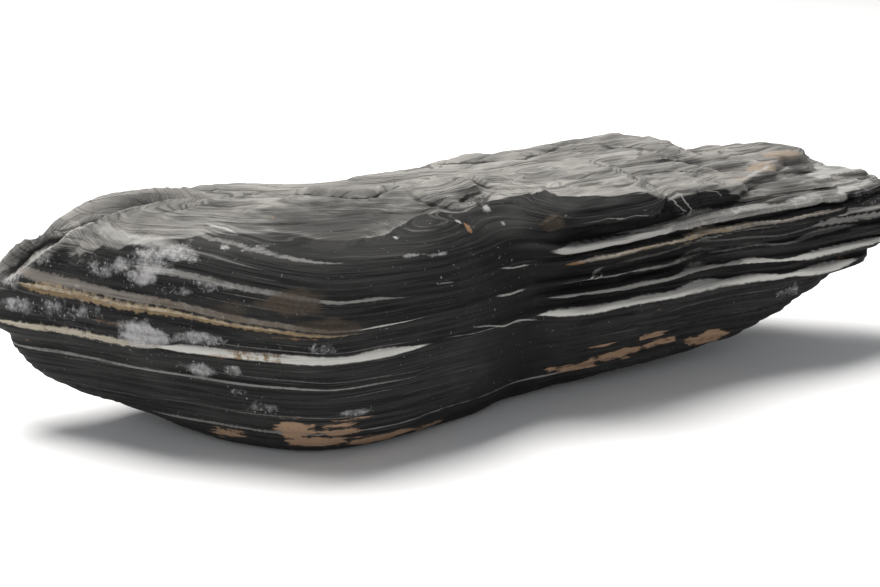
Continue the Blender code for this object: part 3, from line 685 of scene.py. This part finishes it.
# Its two colours come first.
veins = {
    "shoulder band": ("grey", "dimGrey", 57.9, 57.2, 0.5, 0.4, -108, -60, 0.6, 0.3, 0.9, -104, -70, 0.4),
    "under shoulder": ("dimGrey", "brown", 54.8, 53.8, 0.4, 0.25, -108, -80, 0.9, 0.3, 0.4, -90, -80, 0.3),
    "upper grey": ("grey", "dimGrey", 48.9, 48.0, 1.2, 0.35, -117, -44, 0.8, 0.4, 0.6, -112, -64, 0.4),
    "upper thread": ("dimGrey", "brown", 46.4, 46.9, 0.18, 0.15, -100, -62, 0.8, 0.3, 0.6, -96, -80, 0.3),
    "lower thread": ("dimGrey", "brown", 44.0, 45.0, 0.15, 0.12, -104, -66, 0.7, 0.3, 0.7, -96, -80, 0.3),
    "brown band": ("dun", "umber", 41.6, 41.1, 1.15, 0.4, -144, -58, 0.75, 0.3, 0.6, -122, -58, 0.45),
    "gold band": ("gold", "umber", 39.7, 39.9, 0.95, 0.5, -142, -60, 0.85, 0.3, 0.8, -142, -60, 0.38),
    "gold band's rust": ("ochre", "umber", 39.2, 39.9, 0.5, 0.35, -141, -62, 0.7, 0.3, 1.0, -141, -62, 0.3),
    "gold band's cream": ("cream", "gold", 39.9, 39.9, 0.4, 0.2, -142, -78, 0.6, 0.3, 1.3, -142, -78, 0.4),
    "gold band's tail": ("white", "grey", 40.8, 41.5, 0.35, 0.15, -67, -38, 0.8, 0.2, 0.3, -50, -38, 0.5),
    "white tip": ("cream", "umber", 33.2, 33.4, 0.75, 0.9, -150, -104, 0.85, 0.25, 0.8, -146, -112, 0.35),
    "white left": ("white", "ochre", 33.4, 33.3, 1.1, 1.5, -113, -39, 0.95, 0.25, 0.25, -104, -74, 0.42),
    "over the white": ("dimGrey", "cream", 35.7, 35.0, 0.16, 0.22, -108, -40, 0.9, 0.3, 0.4, -100, -80, 0.3),
    "second thread": ("dimGrey", "brown", 36.9, 36.5, 0.14, 0.14, -90, -60, 0.7, 0.3, 0.6, -100, -80, 0.3),
    "hairline": ("grey", "grey", 33.6, 32.4, 0.14, 0.16, -40, 3, 0.8, 0.8, 0.5, -40, 0, 0.1),
    "lower left": ("grey", "dimGrey", 24.9, 24.2, 0.5, 0.32, -146, -40, 0.85, 0.35, 0.45, -146, -110, 0.4),
    "lower twin": ("dimGrey", "brown", 27.4, 25.6, 0.14, 0.2, -112, -34, 0.8, 0.3, 0.5, -100, -80, 0.3),
    "low thread": ("dimGrey", "brown", 21.4, 21.8, 0.16, 0.18, -74, -42, 0.9, 0.3, 0.5, -100, -80, 0.3),
    "near the foot": ("dimGrey", "sand", 15.4, 14.8, 0.25, 0.25, -100, -56, 0.8, 0.4, 0.5, -90, -70, 0.3),
    "foot band": ("grey", "dimGrey", 8.4, 10.4, 0.55, 0.4, -112, 18, 0.8, 0.45, 0.45, -60, -20, 0.4),
    "top roll": ("paleGrey", "grey", 51.6, 52.6, 1.7, 1.2, 1, 126, 0.9, 0.3, 0.3, 34, 160, 0.5),
    "gold thread": ("dun", "gold", 47.7, 48.5, 0.8, 0.55, 8, 118, 0.85, 0.35, 0.7, 14, 84, 0.4),
    "gold thread's cream": ("cream", "grey", 47.9, 48.6, 0.3, 0.2, 12, 112, 0.6, 0.35, 1.2, 60, 120, 0.4),
    "roll below it": ("dimGrey", "ochre", 46.2, 46.8, 0.4, 0.35, 16, 100, 0.8, 0.35, 0.5, 10, 60, 0.4),
    "dim roll": ("dimGrey", "brown", 43.6, 44.2, 0.4, 0.35, 24, 112, 0.6, 0.35, 0.6, 10, 60, 0.3),
    "grey roll": ("grey", "dimGrey", 40.7, 42.6, 0.45, 0.5, 5, 122, 0.7, 0.5, 0.5, 30, 90, 0.4),
    "upper white roll": ("grey", "white", 37.3, 38.0, 0.5, 0.8, 0, 138, 0.9, 0.45, 0.4, 66, 140, 0.8),
    "white right": ("white", "grey", 33.1, 33.2, 0.85, 1.25, -4, 120, 0.95, 0.35, 0.3, -10, 14, 0.35),
    "end streak": ("paleGrey", "dimGrey", 56.0, 56.4, 0.9, 0.8, 108, 156, 0.8, 0.3, 0.6, 120, 148, 0.3),
    "second end streak": ("paleGrey", "grey", 53.0, 53.6, 1.1, 1.2, 108, 156, 0.8, 0.3, 0.9, 116, 148, 0.4),
    "third end streak": ("grey", "dimGrey", 50.2, 50.4, 0.9, 1.0, 108, 156, 0.9, 0.3, 0.9, 120, 148, 0.3),
    "fourth end streak": ("grey", "dimGrey", 46.8, 46.6, 0.7, 0.6, 106, 156, 0.9, 0.3, 0.6, 120, 148, 0.3),
    "fifth end streak": ("grey", "dimGrey", 44.4, 44.6, 1.0, 1.1, 98, 156, 0.9, 0.3, 0.9, 120, 148, 0.3),
    "faint low streak": ("dimGrey", "brown", 27.2, 28.4, 0.2, 0.2, 40, 96, 0.6, 0.4, 0.7, 40, 60, 0.3),
}
veinEdges = {
    "startFade": 9.0, "endFade": 16.0,  # how far it tapers at its ends
    "thinnest": 0.15, "swells": 0.25,
    "edgeShare": 0.4, "edgeLeast": 0.08,  # how soft its edges are, against half its thickness
    "secondFade": 12.0, "secondEdge": (0.48, 0.66), "tipFade": (0.0, 0.3),
}


def veinGroup():
    # One vein laid over the colour that comes in: a band in the pile that tapers out at both ends.
    group = bpy.data.node_groups.new("vein", "ShaderNodeTree")
    face = group.interface
    for name in ("Colour", "Vein colour", "Second colour"):
        face.new_socket(name, in_out="INPUT", socket_type="NodeSocketColor")
    for name in ("Bed", "X", "Wander", "Ragged", "Stain", *veinNumbers):
        face.new_socket(name, in_out="INPUT", socket_type="NodeSocketFloat")
    face.new_socket("Colour", in_out="OUTPUT", socket_type="NodeSocketColor")
    given = group.nodes.new("NodeGroupInput").outputs

    def within(start, end, startFade, endFade):
        starts = ramp(group, maths(group, "SUBTRACT", given["X"], start), 0.0, startFade)
        ends = ramp(group, maths(group, "SUBTRACT", end, given["X"]), 0.0, endFade)
        return times(group, starts, ends)

    def alongIt(left, right):
        return addNode(group, "ShaderNodeMapRange", {0: span, 3: given[left], 4: given[right]}).outputs[0]

    run = {0: given["X"], 1: given["From"], 2: given["To"]}
    span = addNode(group, "ShaderNodeMapRange", run).outputs[0]
    middle = timesPlus(group, given["Wander"], given["Wander by"], alongIt("Left height", "Right height"))
    away = maths(group, "ABSOLUTE", maths(group, "SUBTRACT", given["Bed"], middle))
    taper = within(given["From"], given["To"], veinEdges["startFade"], veinEdges["endFade"])
    narrowing = timesPlus(group, taper, 1 - veinEdges["thinnest"], veinEdges["thinnest"])
    half = times(group, alongIt("Left half", "Right half"), narrowing)
    half = times(group, half, timesPlus(group, given["Wander"], veinEdges["swells"], 1.0))
    softness = timesPlus(group, half, veinEdges["edgeShare"], veinEdges["edgeLeast"])
    edge = maths(group, "DIVIDE", maths(group, "SUBTRACT", half, away), softness)
    edge = maths(group, "ADD", edge, times(group, given["Ragged"], given["Ragged by"]))
    mask = times(group, ramp(group, edge, 0.0, 1.0), ramp(group, taper, *veinEdges["tipFade"]))
    mask = times(group, mask, given["Strength"])
    fade = veinEdges["secondFade"]
    second = times(group, within(given["Second from"], given["Second to"], fade, fade), given["Second by"])
    second = ramp(group, maths(group, "ADD", second, given["Stain"]), *veinEdges["secondEdge"])
    tint = blend(group, second, given["Vein colour"], given["Second colour"])
    out = group.nodes.new("NodeGroupOutput")
    group.links.new(blend(group, mask, given["Colour"], tint), out.inputs["Colour"])
    return group


# What lies on the stone, and the painted shade of the top, in soft patches: centre, half sizes along X, Y and
# Z, and how full, 1 being solid.
patches = {
    # painted shade over the scoop, the left shoulder and the far slopes of the top
    "shade": (
        ((-56, -9, 62), (36, 17, 10), 1.0), ((-36, -14, 62), (16, 12, 7), 0.9),
        ((-100, 14, 64), (28, 16, 7), 0.42), ((-84, -10, 62), (14, 8, 5), 0.6),
        ((-20, -14, 63), (14, 8, 5), 0.55), ((-134, 30, 52), (10, 10, 10), 0.6),
        ((-57, -17, 60), (24, 5, 4), 1.0), ((114, -5, 59), (14, 11, 5), 0.62),
        ((92, -18, 58), (14, 8, 5), 0.7), ((85, -2, 61), (11, 7, 3), 0.45),
        ((70, -24, 56), (13, 5, 3), 0.45), ((56, -25, 63), (10, 5, 3), 0.4),
    ),
    "lime": (
        ((-104, -12, 59.5), (10, 10, 3), 0.8), ((-110, -8, 57), (8, 10, 5), 0.88),
        ((-113, -8, 53.5), (6, 8, 4), 0.95), ((-117, -4, 56), (6, 8, 3.4), 0.75),
        ((-97, -20, 52), (13, 10, 2.2), 0.55), ((-114, -10, 37), (11, 13, 5.2), 1.0),
        ((-101, -21, 37.4), (13, 14, 3), 0.8), ((-143, 27, 45), (5, 8, 4), 0.8),
        ((-140, 24, 39), (9, 10, 4), 0.7), ((-141, 28, 47), (4, 8, 5), 0.65),
        ((-134, 20, 53), (6, 9, 3), 0.58), ((-92, -17, 61.2), (2.2, 2.6, 1.3), 0.95),
        ((-85, -22, 61.5), (8, 3, 1.4), 0.55), ((-128, 5, 48), (2, 3.4, 1.4), 0.85),
        ((-101, -19, 27.6), (6, 10, 3.4), 0.75), ((-94, -26, 28.6), (3, 7, 2.8), 0.7),
        ((-73, -42, 37), (6, 7, 3), 0.55), ((-86, -31, 18), (7, 9, 2.6), 0.58),
        ((-92, -26, 22), (6, 9, 2.6), 0.5), ((-65, -41, 16.6), (8, 8, 2.2), 0.72),
        ((-46, -29, 61.6), (1.6, 2.4, 1), 0.9), ((-44, -36, 58), (3.4, 2.6, 0.7), 0.75),
        ((-36, -36.5, 57.5), (4, 3, 0.7), 0.72), ((-122, -2, 42), (24, 26, 13), 0.3),
        ((-112, -8, 30), (24, 24, 6), 0.3), ((-88, -30, 35), (20, 14, 6), 0.28),
        ((-100, -18, 45), (22, 20, 8), 0.27), ((-131, 11, 40), (18, 20, 4), 0.56),
        ((-106, -16, 50.4), (9, 10, 2), 0.55), ((-121, 0, 54), (14, 14, 4), 0.62),
        ((-24, -23, 62), (2, 2.6, 1.6), 0.85), ((-20, -25, 60.6), (1.5, 2, 0.8), 0.8),
        ((-10, -14, 62), (2.4, 3.4, 1.3), 0.8), ((-8, -21, 59), (1.6, 2.4, 1.2), 0.8),
        ((-2, -21, 59.4), (1.6, 2.4, 1), 0.7), ((-30, -36, 51), (16, 8, 7), 0.26),
        ((-12, -30, 52), (14, 8, 7), 0.24), ((-22, -36, 41), (24, 8, 9), 0.22),
        ((92, -25, 26), (8, 8, 2.8), 0.6), ((10, -27, 64.5), (6, 4, 1), 0.5),
        ((33, -33, 62), (8, 5, 1.2), 0.35), ((126, -20, 52), (16, 14, 7), 0.4),
    ),
    "sand": (
        ((-79, -32.5, 11), (7, 9, 4.6), 1.1), ((-72, -33, 6), (13, 12, 3), 0.95),
        ((-55, -35, 4.6), (16, 12, 3), 0.9), ((-36, -32, 4), (12, 10, 1.8), 0.7),
        ((-92, -16, 6), (10, 10, 2.8), 0.7), ((-68, -38, 11), (11, 8, 3.6), 0.62),
        ((-64, -40, 14), (9, 7, 1.6), 0.5), ((14, -24, 11.5), (13, 10, 1.6), 0.75),
        ((30, -23, 13), (12, 10, 2.4), 0.95), ((42, -25, 18.5), (7, 9, 2), 0.95),
        ((46, -21, 14), (9, 9, 2), 0.8), ((66, -18, 12.5), (11, 9, 2.8), 0.95),
        ((24, -28, 18.6), (7, 6, 1), 0.6),
    ),
    "beige": (
        ((92, -6, 62), (9, 5, 2.4), 0.95), ((106, 1, 63), (12, 5, 2.4), 0.95),
        ((80, -13, 61), (6, 4, 2), 0.6), ((24, -28, 18.6), (8, 6, 1.2), 0.6),
    ),
    "brown": (
        ((-80, -39, 50), (16, 10, 6), 0.8), ((-72, -42, 43), (14, 10, 4), 0.7),
        ((-95, -26, 46), (12, 10, 5), 0.55), ((-80, -38, 28), (22, 12, 5), 0.4),
        ((3, -30, 60), (6, 6, 5), 0.8), ((40, -30, 45), (36, 10, 4), 0.4),
    ),
    "rust": (
        ((-22, -26, 61), (1.7, 5, 2), 1.0), ((1, -28, 61), (2, 4, 3), 0.6),
        ((10, -31, 47.5), (5, 5, 1.2), 0.9), ((103, -3, 61), (6, 2.2, 1), 0.7),
        ((110, -22, 34.5), (6, 6, 1.4), 0.8), ((-96, -24, 33), (6, 8, 1.2), 0.6),
        ((-122, -2, 39), (16, 9, 0.9), 0.55), ((-80, -38, 40), (16, 10, 0.7), 0.6),
    ),
}

# The patterns of the stone's sheets: how fine along the stone and through the pile, how detailed, and a
# shift that sets each apart. Rings and line rings follow the sheets of the top.
sheetPatterns = {
    "broad": (0.014, 0.25, 3.0, 0.0), "thin": (0.03, 1.1, 4.0, 7.0), "hair": (0.045, 2.5, 3.0, 21.0),
    "streaks": (0.09, 0.9, 5.0, 90.0),
    "rings": (0.024, 1.7, 4.0, 40.0), "lineRings": (0.03, 3.6, 2.0, 60.0),
}
# The patterns that are the same in all directions: how fine, how detailed, how rough, how twisted.
cloudPatterns = {
    "fleck": (0.9, 3.0, 0.65, 0.0), "cloud": (0.05, 4.0, 0.6, 0.0), "haze": (0.24, 4.0, 0.62, 0.0),
    "spots": (0.33, 6.0, 0.75, 0.5), "ragged": (0.6, 3.0, 0.6, 0.0), "wobble": (0.5, 3.0, 0.6, 0.0),
}
# Tints laid one over the other: the pattern, where it begins and is full, how strong it is, and the tint.
wallLayers = (("cloud", 0.5, 0.75, 0.25, "slate"), ("fleck", 0.66, 0.74, 0.35, "dimGrey"))
topLayers = (
    ("lineRings", 0.56, 0.64, 0.65, "slate"), ("hair", 0.56, 0.68, 0.3, "paleGrey"),
    # painted shade: the hollows of the top's relief are darkened towards slate
    ("relief", -0.1, -0.5, 0.25, "slate"),
)
# How what lies on the stone breaks up at its edges: the pattern and how far that reaches, where it is full,
# and how strong it is.
crusts = {
    "brown": ("cloud", 0.6, 0.75, 0.7), "rust": ("spots", 1.2, 0.75, 0.7),
    "beige": ("haze", 1.2, 0.85, 0.6), "lime": ("puffs", 2.2, 1.05, 0.8),
    "sand": ("streaked", 2.6, 0.62, 0.95),
}
# The stone's finish. Pairs are where a pattern begins and is full, the shares of two patterns, or a scale
# and what is added.
finish = {
    "plainWall": (-0.85, 1.0), "bedTones": (0.38, 0.62),
    "hairlines": (0.57, 0.68), "hairlineStretches": (0.4, 0.6, 0.1, 1.0),
    "topTones": (0.34, 0.66), "topPatches": (0.42, 0.7, 0.5, "paleAsh"), "shadeBy": 0.92,
    "patchyBroad": 0.9, "patchyHair": 0.7, "patchyEdge": (0.2, 0.8),
    "ragged": (4.0, -2.2), "stainFrom": 0.35, "veinStreaks": (0.45, 0.32, 0.42, "black"),
    "puffs": (0.5, 0.5), "streaked": (0.7, 0.3),
    "crustFrom": 0.4, "crustFlecks": (0.55, 0.35, 0.25, "dimGrey"),
    "specksByLime": 0.2, "specks": (0.68, 0.78, 0.5, "lime"),
    "wobble": (1.4, -0.7), "lineEdge": 0.35, "edgeWidth": 1.1, "crackShadeWidth": 1.0, "partingShadeBy": 0.9,
    "roughness": 0.56, "thinRough": 0.25, "topRough": 0.2, "crustRough": 0.25, "specular": 0.1,
    "wallBump": (0.45, 0.3), "topBump": (0.55, 0.28), "fleckBump": 0.12,
    "bumpDistance": 1.1, "bumpStrength": 0.85,
}


def stoneMaterial():
    material = bpy.data.materials.new("banded stone")
    material.use_nodes = True
    tree = material.node_tree
    shader = tree.nodes["Principled BSDF"]
    place, x, y, _ = inMillimetres(tree, addNode(tree, "ShaderNodeTexCoord").outputs["Object"])

    def field(name):
        node = addNode(tree, "ShaderNodeAttribute", attribute_name=name, attribute_type="GEOMETRY")
        return node.outputs["Fac"]

    def sheets(alongScale, throughScale, detail, shift, height):
        # thin sheets of the pile, long along the stone
        through = timesPlus(tree, height, throughScale, shift)
        way = vectorOf(tree, times(tree, x, alongScale), times(tree, y, alongScale), through)
        return noiseAt(tree, way, detail=detail)

    def shareOf(one, other, shares):
        return timesPlus(tree, pattern[one], shares[0], times(tree, pattern[other], shares[1]))

    def around(name, scale, base):
        # the pattern's rise and fall added to a base
        return timesPlus(tree, maths(tree, "SUBTRACT", pattern[name], 0.5), scale, base)

    def laid(colour, name, start, full, strength, tint):
        amount = times(tree, ramp(tree, pattern[name], start, full), strength)
        return blend(tree, amount, colour, tints[tint])

    bed, level, weathered = field("bed"), field("level"), field("weathered")
    pattern = {name: noiseAt(tree, place, *numbers) for name, numbers in cloudPatterns.items()}
    for name, numbers in sheetPatterns.items():
        pattern[name] = sheets(*numbers, level if name in ("rings", "lineRings") else bed)
    pattern["relief"] = field("relief")
    pattern["puffs"] = shareOf("haze", "spots", finish["puffs"])
    pattern["streaked"] = shareOf("streaks", "spots", finish["streaked"])

    # dark walls with fine grey hairlines
    lined = timesPlus(tree, field("plain"), *finish["plainWall"])
    tones = times(tree, ramp(tree, pattern["thin"], *finish["bedTones"]), lined)
    colour = blend(tree, tones, tints["black"], tints["charcoal"])
    stretches = ramp(tree, pattern["broad"], *finish["hairlineStretches"])
    hairlines = times(tree, ramp(tree, pattern["hair"], *finish["hairlines"]), stretches)
    colour = blend(tree, times(tree, hairlines, lined), colour, tints["slate"])
    for layer in wallLayers:
        colour = laid(colour, *layer)

    # the weathered top shows the sheets' edges as rings and waves
    top = blend(tree, ramp(tree, pattern["rings"], *finish["topTones"]), tints["darkAsh"], tints["ash"])
    top = laid(top, "cloud", *finish["topPatches"])
    # painted shade laid over the scoop and the far slopes of the top
    top = blend(tree, times(tree, field("shade"), finish["shadeBy"]), top, tints["shade"])
    # the last top layer darkens the hollows of the relief as painted shade
    for layer in topLayers:
        top = laid(top, *layer)
    patchy = around("hair", finish["patchyHair"], around("broad", finish["patchyBroad"], weathered))
    colour = blend(tree, ramp(tree, patchy, *finish["patchyEdge"]), colour, top)

    # veins, streaked along the beds
    group = veinGroup()
    shared = {
        "Bed": bed, "X": x, "Wander": field("wander"),
        "Ragged": timesPlus(tree, pattern["ragged"], *finish["ragged"]),
        "Stain": maths(tree, "SUBTRACT", pattern["spots"], finish["stainFrom"]),
    }
    for tint, second, *numbers in veins.values():
        sockets = {"Colour": colour, "Vein colour": tints[tint], "Second colour": tints[second], **shared}
        sockets.update(zip(veinNumbers, numbers))
        colour = addNode(tree, "ShaderNodeGroup", sockets, node_tree=group).outputs["Colour"]
    colour = laid(colour, "hair", *finish["veinStreaks"])

    # what lies on the stone
    crust = 0.0
    for name, (edge, reach, full, strength) in crusts.items():
        amount = around(edge, reach, field(name))
        mask = times(tree, ramp(tree, amount, finish["crustFrom"], full), strength)
        crust = maths(tree, "MAXIMUM", mask, crust)
        colour = blend(tree, mask, colour, laid(tints[name], "fleck", *finish["crustFlecks"]))
    pattern["specks"] = timesPlus(tree, field("lime"), finish["specksByLime"], pattern["fleck"])
    colour = laid(colour, "specks", *finish["specks"])

    # worn edges are pale, partly with a painted highlight along the rims, and cracks and partings get painted
    # shade
    wobble = timesPlus(tree, pattern["wobble"], *finish["wobble"])
    for name, tint in (("edge", "paleGrey"), ("crackShade", "black")):
        width = finish[name + "Width"]
        away = maths(tree, "ABSOLUTE", maths(tree, "ADD", field(name + "Side"), wobble))
        line = times(tree, ramp(tree, away, width, finish["lineEdge"] * width), field(name + "Full"))
        colour = blend(tree, line, colour, tints[tint])
    # painted shade in the partings
    colour = blend(tree, times(tree, field("partingShade"), finish["partingShadeBy"]), colour, tints["black"])
    tree.links.new(colour, shader.inputs["Base Color"])

    # the walls are worn smooth, the top and the crusts are dull
    roughness = timesPlus(tree, pattern["thin"], finish["thinRough"], finish["roughness"])
    roughness = timesPlus(tree, weathered, finish["topRough"], roughness)
    roughness = maths(tree, "MULTIPLY_ADD", crust, finish["crustRough"], roughness, clamp=True)
    tree.links.new(roughness, shader.inputs["Roughness"])
    shader.inputs["Specular IOR Level"].default_value = finish["specular"]

    wallBump = times(tree, shareOf("thin", "hair", finish["wallBump"]), lined)
    topBump = shareOf("rings", "lineRings", finish["topBump"])
    sockets = {0: weathered, 2: wallBump, 3: topBump}
    bumps = addNode(tree, "ShaderNodeMix", sockets, data_type="FLOAT").outputs[0]
    bumps = timesPlus(tree, pattern["fleck"], finish["fleckBump"], bumps)
    sockets = {"Height": bumps, "Distance": finish["bumpDistance"] * mm, "Strength": finish["bumpStrength"]}
    tree.links.new(addNode(tree, "ShaderNodeBump", sockets).outputs[0], shader.inputs["Normal"])
    print("finish:", len(veins), "veins")
    return material


def buildStone():
    skin = stoneSkin
    rings = smoothRings(castRings(), skin["softAlong"], skin["softRound"])
    x, y = rings[..., :1] / mm, rings[..., 1:2] / mm
    calm = between(x, *skin["calm"], skin["calmHalf"]) * smoothRise(-y, *skin["calmFront"])
    rings += skin["calmBy"] * calm * (smoothRings(rings, skin["calmReach"], skin["calmReach"]) - rings)
    bend = between(x, *skin["bend"], skin["bendHalf"]) * smoothRise(-y, *skin["bendFront"])
    bend = bend * (1 - smoothRise(rings[..., 2:] / mm, *skin["bendTop"]))
    rings[..., 1:2] += bend * (smoothRings(rings[..., 1:2], skin["bendReach"], 0) - rings[..., 1:2])
    ledges = rings - smoothRings(rings, 0, skin["sharpenReach"])
    ledges *= smoothRise(rings[..., 2:] / mm, *skin["sharpenFrom"])
    mesh = ringMesh("skin", rings + byLobe(rings[..., :1] / mm, *skin["sharpen"]) * ledges)
    print("skin:", skin["rings"], "rings of", skin["pointsRound"], "points")
    markStone(mesh)
    carveGullies(mesh)
    print("gullies:", len(topGullies), "on the top and", len(wallGullies), "in the front wall")
    stone = carveRelief(mesh, stoneMaterial())
    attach(stone, "root")
    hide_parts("stone")
    print("stone:", len(stone.data.polygons), "faces")


# The floor is plain and pale, and the lights are broad and soft. Lengths here are metres.
studio = {
    "floorSize": 6.0, "floorColour": (0.88, 0.88, 0.88, 1), "floorRoughness": 0.9,
    "skyColour": (0.95, 0.97, 1.0, 1), "skyStrength": 0.25,
    "lightsAimAt": (0, 0, 0.03),
}
# name, place, size, watts, colour
softLights = (
    ("overheadSoftbox", (-0.15, 0.35, 1.10), 0.8, 26.0, (1.0, 0.985, 0.96)),
    ("frontFill", (-0.55, -1.05, 0.45), 0.9, 3.6, (0.97, 0.98, 1.0)),
)


def buildStudio():
    bpy.ops.mesh.primitive_plane_add(size=studio["floorSize"])
    floor = bpy.context.object
    floor.name = "floor"
    material = bpy.data.materials.new("pale floor")
    material.use_nodes = True
    shader = material.node_tree.nodes["Principled BSDF"]
    shader.inputs["Base Color"].default_value = studio["floorColour"]
    shader.inputs["Roughness"].default_value = studio["floorRoughness"]
    floor.data.materials.append(material)
    world = bpy.data.worlds.new("studio")
    world.use_nodes = True
    sky = world.node_tree.nodes["Background"]
    sky.inputs["Color"].default_value = studio["skyColour"]
    sky.inputs["Strength"].default_value = studio["skyStrength"]
    bpy.context.scene.world = world
    for name, place, size, watts, colour in softLights:
        light = bpy.data.lights.new(name, "AREA")
        light.energy = watts
        light.size = size
        light.color = colour
        lamp = bpy.data.objects.new(name, light)
        lamp.location = place
        aim = Vector(studio["lightsAimAt"]) - Vector(place)
        lamp.rotation_euler = aim.to_track_quat("-Z", "Y").to_euler()
        bpy.context.scene.collection.objects.link(lamp)
    bpy.context.scene.view_settings.view_transform = "Standard"
    print("studio: floor and", len(softLights), "lights")


# The camera looks at the stone from its front left, a little from above. Angles are in degrees, and lengths
# but the lens's are in metres.
cameraView = {
    "azimuth": -25, "elevation": 18, "distance": 0.522, "target": (-0.01835, 0.0012, 0.0324), "lens": 70,
    "clipStart": 0.01,
}


def buildCamera():
    azimuth, elevation = math.radians(cameraView["azimuth"]), math.radians(cameraView["elevation"])
    level = math.cos(elevation)
    back = Vector((math.sin(azimuth) * level, -math.cos(azimuth) * level, math.sin(elevation)))
    camera = bpy.data.objects.new("camera", bpy.data.cameras.new("camera"))
    camera.data.lens = cameraView["lens"]
    camera.data.clip_start = cameraView["clipStart"]
    camera.location = Vector(cameraView["target"]) + back * cameraView["distance"]
    camera.rotation_euler = (-back).to_track_quat("-Z", "Y").to_euler()
    bpy.context.scene.collection.objects.link(camera)
    bpy.context.scene.camera = camera
    print("camera:", cameraView["lens"], "mm lens")


buildStone()
buildStudio()
buildCamera()
